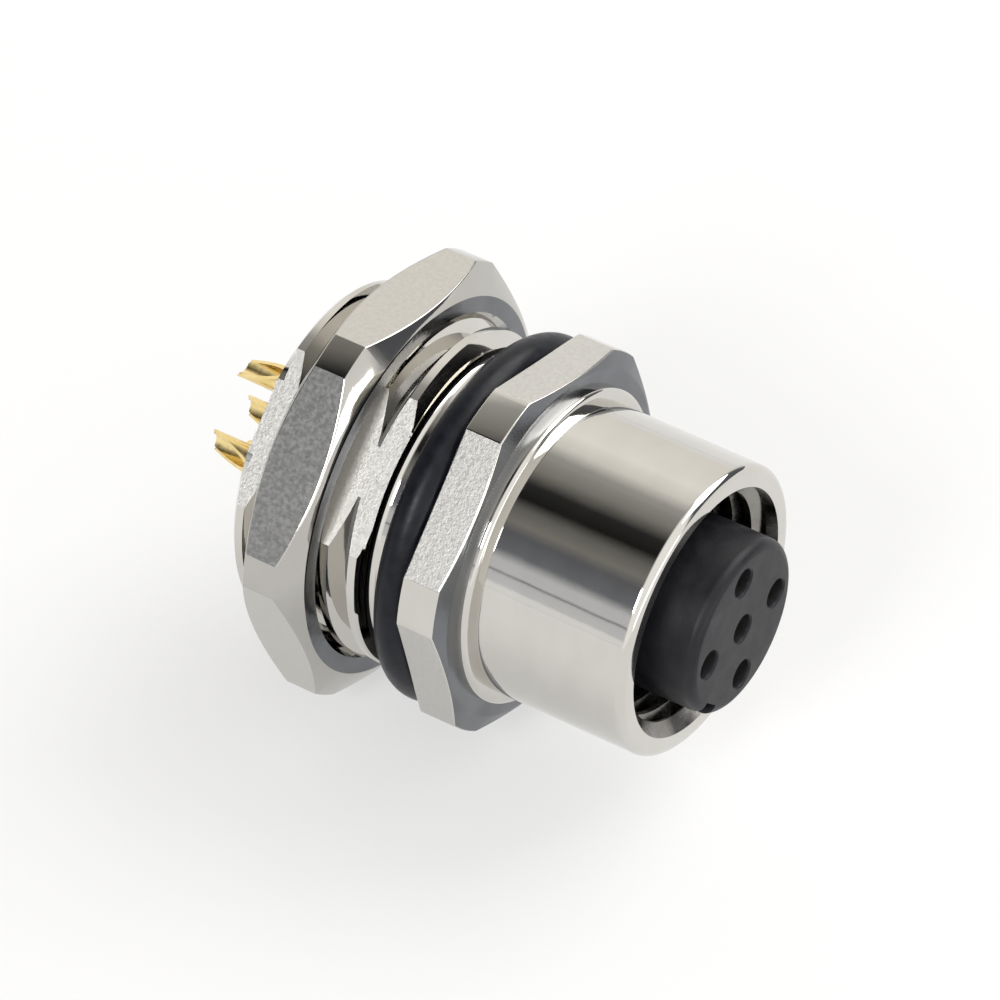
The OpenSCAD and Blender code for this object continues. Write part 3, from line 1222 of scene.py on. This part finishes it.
class Moulding:
    """Closed mesh of a drilled bar whose outline may change along the axis."""

    def __init__(self, stations: Sequence[tuple[np.ndarray, float]], holes: Sequence[RoundWall]) -> None:
        """Takes the bar's outlines and holes.

        Args:
            stations: Outline across the axis, as rows of X and Z, and place, from front to rear.
            holes: Its holes.
        """
        self.stations = stations
        self.holes = holes
        self.points: list[tuple[float, float, float]] = []
        self.faces: list[tuple[int, ...]] = []

    def tube(self, rings: Sequence[tuple[np.ndarray, float]]) -> tuple[range, range]:
        """Adds a wall through some rings.

        Args:
            rings: Points across the axis and place of each ring.

        Returns:
            Point numbers of the first and the last ring.
        """
        spans = []
        for outline, place in rings:
            start = len(self.points)
            self.points.extend((x * MM, -place * MM, z * MM) for x, z in outline)
            spans.append(range(start, len(self.points)))
        for near, far in zip(spans, spans[1:]):
            for j, k in enumerate([*range(1, len(near)), 0]):
                self.faces.append((near[j], near[k], far[k], far[j]))
        return spans[0], spans[-1]

    def cap(self, outline: range, holes: Sequence[range]) -> None:
        """Closes an end between its outline and its holes.

        Args:
            outline: Point numbers of the outline.
            holes: Point numbers of each hole's ring.
        """
        loops = [outline, *holes]
        numbers = [n for loop in loops for n in loop]
        flat = [Vector((self.points[n][0] / MM, self.points[n][2] / MM)) for n in numbers]
        edges, rims, start = [], [], 0
        for loop in loops:
            size = len(loop)
            edges += [(start + j, start + (j + 1) % size) for j in range(size)]
            rims.append(flat[start : start + size])
            start += size
        _, _, faces, origins, _, _ = delaunay_2d_cdt(flat, edges, [], 0, 1e-7)
        where = [min(o) for o in origins]
        for face in faces:
            middle = sum((flat[where[v]] for v in face), Vector((0.0, 0.0))) / len(face)
            if inside(middle, rims[0]) and not any(inside(middle, rim) for rim in rims[1:]):
                self.faces.append(tuple(numbers[where[v]] for v in face))

    def build(self, name: str, material: Material) -> Piece:
        """Makes the mesh.

        Args:
            name: Name of the piece.
            material: Its material.

        Returns:
            The piece, closed and facing outwards.
        """
        front, rear = self.tube(self.stations)
        bores = [self.tube(hole.rings()) for hole in self.holes]
        self.cap(front, [mouth for mouth, _ in bores])
        self.cap(rear, [end for _, end in bores])
        piece = mesh_object(name, self.points, self.faces, material)
        face_outwards(piece)
        return piece


def inside(spot: Vector, rim: Sequence[Vector]) -> bool:
    """Whether a point lies inside a closed outline.

    Args:
        spot: The point.
        rim: The outline's points in order.

    Returns:
        True if it lies inside.
    """
    found = False
    for a, b in zip(rim, [*rim[1:], rim[0]]):
        if (a.y > spot.y) != (b.y > spot.y):
            if spot.x < a.x + (spot.y - a.y) * (b.x - a.x) / (b.y - a.y):
                found = not found
    return found


@dataclass(frozen=True)
class Poles:
    """Places of the contacts: four on a circle and one in the middle."""

    circle_r: float = 2.75
    count: int = 4
    first_turn: float = 90.0
    middle_turn: float = 180.0

    def turns(self) -> list[float]:
        """Directions in degrees in which the contacts' cups open, the middle one's last."""
        outer = [self.first_turn - 360.0 * i / self.count for i in range(self.count)]
        return [*outer, self.middle_turn]

    def centres(self) -> list[tuple[float, float]]:
        """Place of each contact across the axis, as X and Z, the middle one last."""
        turns = [math.radians(t) for t in self.turns()[: self.count]]
        ring = [(self.circle_r * math.cos(t), self.circle_r * math.sin(t)) for t in turns]
        return [*ring, (0.0, 0.0)]

    def holes(self, steps: Sequence[tuple[float, float]]) -> list[RoundWall]:
        """A hole with these steps at every contact."""
        return [RoundWall(centre, tuple(steps)) for centre in self.centres()]


@dataclass
class Insert:
    """The moulded contact carrier with its stem, keyway, foot and rear flange."""

    stem_r: float = 4.2
    stem_end: float = 12.3
    edge: float = 0.5
    foot_r: float = 4.5
    floor_place: float = 2.0
    shoulder_place: float = 0.8
    flange_r: float = 6.35
    rear: float = -5.2
    groove_r: float = 5.6
    groove_place: float = -0.22
    key_half: float = 0.525
    key_floor: float = 3.6
    key_turn: float = 225.0
    key_filled: float = 0.98
    pin_hole_r: float = 0.675
    pin_lead: float = 0.1
    lead_rounding: tuple[tuple[float, float], ...] = ((1.0, 0.0), (0.3, 0.4), (0.0, 1.0))
    front_wall: float = 0.6
    chamber_r: float = 0.89
    pocket_r: float = 1.19
    pocket_end: float = -4.3
    poles: Poles = Poles()
    arc_points: int = 150
    nose_steps: int = 8

    def outline(self, radius: float, keyed: bool) -> np.ndarray:
        """One outline across the axis.

        Args:
            radius: Radius of its round part.
            keyed: Whether the keyway is cut into it.

        Returns:
            Rows of X and Z, as many for every outline.
        """
        mouth = math.asin(self.key_half / radius)
        turn = math.radians(self.key_turn)
        arc = turn + np.linspace(mouth, FULL_TURN - mouth, self.arc_points)
        rim = radius * np.stack([np.cos(arc), np.sin(arc)], axis=1)
        across = np.linspace(-self.key_half, self.key_half, 4)
        if keyed:
            down = np.full_like(across, self.key_floor)
        else:
            across *= self.key_filled
            down = np.sqrt(radius**2 - across**2)
        cos, sin = math.cos(turn), math.sin(turn)
        key = np.stack([down * cos - across * sin, down * sin + across * cos], axis=1)
        return np.concatenate([rim, key])

    def build(self) -> Piece:
        """Makes and dresses the insert.

        Returns:
            The piece.
        """
        stations = []
        for i in range(self.nose_steps + 1):
            lean = math.radians(90.0 * i / self.nose_steps)
            radius = self.stem_r - self.edge * (1 - math.sin(lean))
            place = self.stem_end - self.edge * (1 - math.cos(lean))
            stations.append((self.outline(radius, True), place))
        stations.append((self.outline(self.stem_r, True), self.floor_place))
        for radius, place in (
            (self.foot_r, self.floor_place),
            (self.foot_r, self.groove_place),
            (self.groove_r, self.groove_place),
            (self.groove_r, self.shoulder_place),
            (self.flange_r, self.shoulder_place),
            (self.flange_r, self.rear),
        ):
            stations.append((self.outline(radius, False), place))
        wall_end = self.stem_end - self.front_wall
        steps = [
            (self.pin_hole_r + out * self.pin_lead, self.stem_end - down * self.pin_lead)
            for out, down in self.lead_rounding
        ]
        steps += [
            (self.pin_hole_r, wall_end),
            (self.chamber_r, wall_end),
            (self.chamber_r, self.pocket_end),
            (self.pocket_r, self.pocket_end),
            (self.pocket_r, self.rear),
        ]
        moulding = Moulding(stations, self.poles.holes(steps))
        piece = moulding.build("insert_dressed", MOULDED_PLASTIC.material())
        ends = [EndFace(self.stem_end), EndFace(self.rear)]
        dress(piece, Body.HOUSING, ["insert"], creased=ends)
        return piece


@dataclass
class RearInsulator:
    """The disc that closes the rear bore, its rounding given as shares of the edge."""

    disc_r: float = 6.35
    front: float = -5.2
    rear: float = -10.4
    edge: float = 0.15
    rounding: tuple[tuple[float, float], ...] = ((0.0, 1.3), (0.1, 0.7), (0.45, 0.2), (1.0, 0.0))
    tail_hole_r: float = 0.69
    hole_break: float = 0.06
    poles: Poles = Poles()
    points: int = 160

    def build(self) -> Piece:
        """Makes and dresses the disc.

        Returns:
            The piece.
        """
        steps = [(self.disc_r, self.front)]
        for inwards, forwards in self.rounding:
            steps.append((self.disc_r - inwards * self.edge, self.rear + forwards * self.edge))
        hole_steps = [
            (self.tail_hole_r, self.front),
            (self.tail_hole_r, self.rear + self.hole_break),
            (self.tail_hole_r + self.hole_break, self.rear),
        ]
        disc = RoundWall((0.0, 0.0), tuple(steps), self.points)
        moulding = Moulding(disc.rings(), self.poles.holes(hole_steps))
        piece = moulding.build("rear_insulator_dressed", MOULDED_PLASTIC.material())
        ends = [EndFace(self.front), EndFace(self.rear)]
        dress(piece, Body.HOUSING, ["rear_insulator"], creased=ends)
        return piece


@dataclass
class Contacts:
    """The five gold contacts: split sockets in front, slanted solder cups behind."""

    tip: float = -14.3
    front: float = 11.7
    tail_r: float = 0.65
    collar_r: float = 1.15
    collar_rear: float = -5.2
    collar_front: float = -4.3
    barrel_r: float = 0.85
    edge: float = 0.15
    collar_ease: float = 0.08
    barrel_ease: float = 0.05
    mouth_ease: float = 0.03
    mouth_r: float = 0.58
    mouth_depth: float = 0.1
    socket_r: float = 0.5
    socket_depth: float = 6.0
    socket_point: float = 0.15
    cup_point: float = 0.12
    cup_r: float = 0.45
    cup_depth: float = 3.1
    scoop_len: float = 2.8
    scoop_tip: float = 0.4
    slot_width: float = 0.2
    slot_len: float = 4.4
    slot_depth: float = 2.04
    poles: Poles = Poles()
    columns: int = 48

    def cup_end(self, across: np.ndarray) -> np.ndarray:
        """Place at which the slant ends a cup's wall, so far across towards its open side."""
        slope = self.scoop_len / (2 * self.tail_r - self.scoop_tip)
        return self.tip + np.maximum(0.0, (across + self.tail_r - self.scoop_tip) * slope)

    def blank(self) -> Piece:
        """Makes one contact round the mating axis, with its cup open towards +X.

        Returns:
            The blank, without its slot.
        """
        angles = np.linspace(0, FULL_TURN, self.columns, endpoint=False)
        outer_end = self.cup_end(self.tail_r * np.cos(angles))
        inner_end = self.cup_end(self.cup_r * np.cos(angles))
        floor = self.tip + self.cup_depth
        socket_floor = self.front - self.socket_depth
        outline = [
            (self.cup_r, inner_end),
            (self.tail_r, outer_end),
            (self.tail_r, self.collar_rear),
            (self.collar_r, self.collar_rear, self.collar_ease),
            (self.collar_r, self.collar_front, self.collar_ease),
            (self.barrel_r, self.collar_front),
            (self.barrel_r, self.front - self.edge, self.barrel_ease),
            (self.barrel_r - self.edge, self.front, self.barrel_ease),
            (self.mouth_r, self.front, self.mouth_ease),
            (self.socket_r, self.front - self.mouth_depth),
            (self.socket_r, socket_floor),
            (0.0, socket_floor - self.socket_point),
            (0.0, floor + self.cup_point),
            (self.cup_r, floor),
        ]
        return TurnedForm(angles, outline).build("contact_blank", GOLD_PLATE.material())

    def build(self) -> Piece:
        """Makes and dresses the set of contacts.

        Returns:
            The piece, one mesh for all five.
        """
        blank = self.blank()
        piece = mesh_object("contacts_dressed", [], [], GOLD_PLATE.material())
        given = {
            "Circle radius": self.poles.circle_r * MM,
            "Outer poles": self.poles.count,
            "First turn": math.radians(self.poles.first_turn),
            "Middle turn": math.radians(self.poles.middle_turn),
            "Slot width": self.slot_width * MM,
            "Slot length": self.slot_len * MM,
            "Slot depth": self.slot_depth * MM,
            "Front place": self.front * MM,
            "Blank": blank,
            "Material": GOLD_PLATE.material(),
        }
        run_rule(piece, "contact_set", given, self.wire)
        bpy.data.objects.remove(blank)
        face_outwards(piece)
        nodes = [f"contact_{i + 1}" for i in range(self.poles.count + 1)]
        dress(piece, Body.HOUSING, nodes, sharp=32.0)
        return piece

    def wire(self, tree: Tree) -> None:
        """Fills the tree: a slot through the blank, then a blank at every pole.

        Args:
            tree: The tree, with its interface made.
        """
        wiring = Wiring(tree)
        given = wiring.given()
        blank = wiring.node("GeometryNodeObjectInfo", {"Object": given["Blank"]})
        size = wiring.vector(given["Slot depth"], given["Slot length"] * 2.0, given["Slot width"])
        saw = wiring.node("GeometryNodeMeshCube", {"Size": size}).outputs[0]
        spot = wiring.vector(y=given["Front place"] * -1.0)
        blade = wiring.node("GeometryNodeTransform", {"Geometry": saw, "Translation": spot})
        slotted = wiring.node("GeometryNodeMeshBoolean", operation="DIFFERENCE", solver="EXACT")
        wiring.feed(slotted.inputs[0], blank.outputs["Geometry"])
        wiring.feed(slotted.inputs[1], blade.outputs[0])
        index = Term(wiring, wiring.node("GeometryNodeInputIndex").outputs[0])
        turn = given["First turn"] - index * (FULL_TURN / given["Outer poles"])
        outer = wiring.math("LESS_THAN", index, given["Outer poles"])
        reach = given["Circle radius"] * outer
        place = wiring.vector(
            x=reach * wiring.math("COSINE", turn), z=reach * wiring.math("SINE", turn)
        )
        count = given["Outer poles"] + 1.0
        points = wiring.node("GeometryNodePoints", {"Count": count, "Position": place}).outputs[0]
        swing = turn * outer + given["Middle turn"] * (1.0 - outer)
        spin = wiring.node("FunctionNodeEulerToRotation", {0: wiring.vector(y=swing * -1.0)})
        inputs = {"Points": points, "Instance": slotted.outputs[0], "Rotation": spin.outputs[0]}
        placed = wiring.node("GeometryNodeInstanceOnPoints", inputs)
        wiring.close(placed.outputs[0], given["Material"])


@dataclass(frozen=True)
class Softbox:
    """One rectangular lamp that looks at the part.

    Attributes:
        name: Its name.
        way: Direction from the part to the lamp.
        distance: Distance in metres.
        size: Width and height in metres.
        radiance: Brightness of its face.
        colour: Colour of its light.
    """

    name: str
    way: tuple[float, float, float]
    distance: float
    size: tuple[float, float]
    radiance: float
    colour: Colour = (1.0, 1.0, 1.0)

    def build(self) -> bpy.types.Object:
        """Makes the lamp.

        Returns:
            The lamp's object.
        """
        light = bpy.data.lights.new(self.name, "AREA")
        light.shape = "RECTANGLE"
        light.size, light.size_y = self.size
        light.energy = self.radiance * math.pi * self.size[0] * self.size[1]
        light.color = self.colour
        lamp = bpy.data.objects.new(self.name, light)
        link(lamp)
        way = Vector(self.way).normalized()
        turned = way.to_track_quat("Z", "Y").to_matrix().to_4x4()
        lamp.matrix_world = Matrix.Translation(way * self.distance) @ turned
        return lamp


# The dome's ring of walls: turn in degrees from +X towards +Z, and colour there.
WALLS = (
    (-180.0, (0.78, 0.79, 0.82)),
    (-140.0, (0.72, 0.73, 0.75)),
    (-115.0, (0.42, 0.41, 0.39)),
    (-60.0, (0.50, 0.49, 0.46)),
    (-32.0, (1.12, 1.09, 1.05)),
    (-12.0, (0.91, 0.89, 0.84)),
    (45.0, (1.13, 1.10, 1.05)),
    (60.0, (0.92, 0.89, 0.84)),
    (70.0, (0.44, 0.44, 0.42)),
    (86.0, (0.28, 0.27, 0.25)),
    (98.0, (0.03, 0.03, 0.03)),
    (110.0, (0.015, 0.015, 0.015)),
    (118.0, (0.17, 0.17, 0.16)),
    (128.0, (0.26, 0.25, 0.23)),
    (136.0, (0.14, 0.145, 0.16)),
    (150.0, (0.19, 0.20, 0.22)),
    (157.0, (0.68, 0.69, 0.72)),
    (164.6, (0.70, 0.71, 0.74)),
    (166.0, (0.22, 0.22, 0.24)),
    (167.4, (0.70, 0.71, 0.74)),
    (180.0, (0.78, 0.79, 0.82)),
)


@dataclass
class Studio:
    """Camera, floor, world and lamps."""

    azimuth: float = -56.82
    elevation: float = 42.60
    distance: float = 403.38
    shift_right: float = -0.422
    shift_up: float = 1.139
    lens: float = 325.0
    sensor: float = 36.0
    floor_place: float = -0.0106
    floor_size: float = 3.0
    floor_glow: float = 0.5
    floor_grey: float = 0.7
    left_front: Colour = (1.20, 1.19, 1.17)
    right_front: Colour = (0.13, 0.135, 0.15)
    left_to_right: tuple[float, float] = (0.34, 0.48)
    front_to_sides: tuple[float, float] = (-0.15, 0.2)
    white_horizon: tuple[float, float] = (0.09, 0.06)
    clip: tuple[float, float] = (0.01, 20.0)

    def camera(self) -> bpy.types.Object:
        """Makes the camera at the photograph's angle.

        Returns:
            The camera's object.
        """
        a, e = math.radians(self.azimuth), math.radians(self.elevation)
        right = Vector((math.cos(a), math.sin(a), 0.0))
        back = Vector((math.sin(a) * math.cos(e), -math.cos(a) * math.cos(e), math.sin(e)))
        up = back.cross(right)
        place = (self.shift_right * right + self.shift_up * up + self.distance * back) * MM
        data = bpy.data.cameras.new("photo_camera")
        data.lens = self.lens
        data.sensor_width = self.sensor
        data.clip_start, data.clip_end = self.clip
        made = bpy.data.objects.new("photo_camera", data)
        link(made)
        turned = Matrix((right, up, back)).transposed().to_4x4()
        made.matrix_world = Matrix.Translation(place) @ turned
        bpy.context.scene.camera = made
        return made

    def seen_directly(self, wiring: Wiring) -> Term:
        """Adds a value that is 1 for the camera's, glossy and transmission rays, else 0."""
        rays = wiring.node("ShaderNodeLightPath").outputs
        first = wiring.math("MAXIMUM", rays["Is Camera Ray"], rays["Is Glossy Ray"])
        return wiring.math("MAXIMUM", first, rays["Is Transmission Ray"])

    def floor(self) -> Piece:
        """Makes the pale floor, which keeps the part's shadow.

        Returns:
            The floor.
        """
        half, level = self.floor_size / 2, self.floor_place
        corners = [(-half, -half), (half, -half), (half, half), (-half, half)]
        material = bpy.data.materials.new("pale_floor")
        material.use_nodes = True
        wiring = Wiring(material.node_tree)
        pale = (self.floor_grey, self.floor_grey, self.floor_grey, 1.0)
        plain = wiring.node("ShaderNodeBsdfDiffuse", {"Color": pale}).outputs[0]
        glow = wiring.node("ShaderNodeEmission", {"Strength": 1.0}).outputs[0]
        share = self.seen_directly(wiring) * self.floor_glow
        mixed = wiring.node("ShaderNodeMixShader", {0: share, 1: plain, 2: glow})
        wiring.node("ShaderNodeOutputMaterial", {"Surface": mixed.outputs[0]})
        made = mesh_object("floor", [(*c, level) for c in corners], [(0, 1, 2, 3)], material)
        return made

    def world(self) -> None:
        """Makes the dome: a ring of walls, a white horizon, and a front half lit from the left."""
        world = bpy.data.worlds.new("studio_dome")
        bpy.context.scene.world = world
        world.use_nodes = True
        wiring = Wiring(world.node_tree)
        way = wiring.node("ShaderNodeTexCoord").outputs["Generated"]
        x, y, z = wiring.split(way)
        share = wiring.math("ARCTAN2", z, x) / FULL_TURN + 0.5
        ramp = wiring.node("ShaderNodeValToRGB", {0: share})
        colours = ramp.color_ramp.elements
        for number, (turn, colour) in enumerate(WALLS):
            spot = turn / 360 + 0.5
            element = colours[number] if number < 2 else colours.new(spot)
            element.position = spot
            element.color = (*colour, 1.0)
        level = wiring.span(wiring.math("ABSOLUTE", z), *self.white_horizon)
        sides = wiring.blend(level, ramp.outputs[0], (1.0, 1.0, 1.0))
        front = wiring.blend(wiring.span(x, *self.left_to_right), self.left_front, self.right_front)
        walls = wiring.blend(wiring.span(y, *self.front_to_sides), front, sides)
        backdrop = wiring.node("ShaderNodeBackground", {"Color": walls})
        wiring.node("ShaderNodeOutputWorld", {"Surface": backdrop.outputs[0]})

    def lamps(self) -> None:
        """Makes the lamps."""
        boxes = [
            Softbox("key_softbox", (0.64, -0.35, 0.68), 1.0, (0.8, 0.8), 4.5, (1.0, 0.99, 0.97)),
            Softbox("front_strip", (-0.1, -1.0, 0.05), 1.0, (1.0, 0.12), 4.0),
            Softbox("left_softbox", (-0.81, 0.0, 0.586), 1.0, (0.3, 0.3), 16.0),
        ]
        for box in boxes:
            box.build()

    def build(self) -> None:
        """Makes everything round the part and sets the view transform."""
        self.camera()
        self.floor()
        self.world()
        self.lamps()
        bpy.context.scene.view_settings.view_transform = "Standard"


def main() -> None:
    """Builds the part's pieces round the frame, then the studio."""
    logging.basicConfig(level=logging.INFO, format="%(name)s: %(message)s")
    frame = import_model()
    for assembly in (Shell(), PanelSeal(), LockNut(), Insert(), RearInsulator(), Contacts()):
        assembly.build()
    seal = frame["nodes"]["insert_seal"]
    seal.data.materials.clear()
    seal.data.materials.append(SEAL_RUBBER.material())
    Studio().build()


if __name__ == "__main__":
    main()
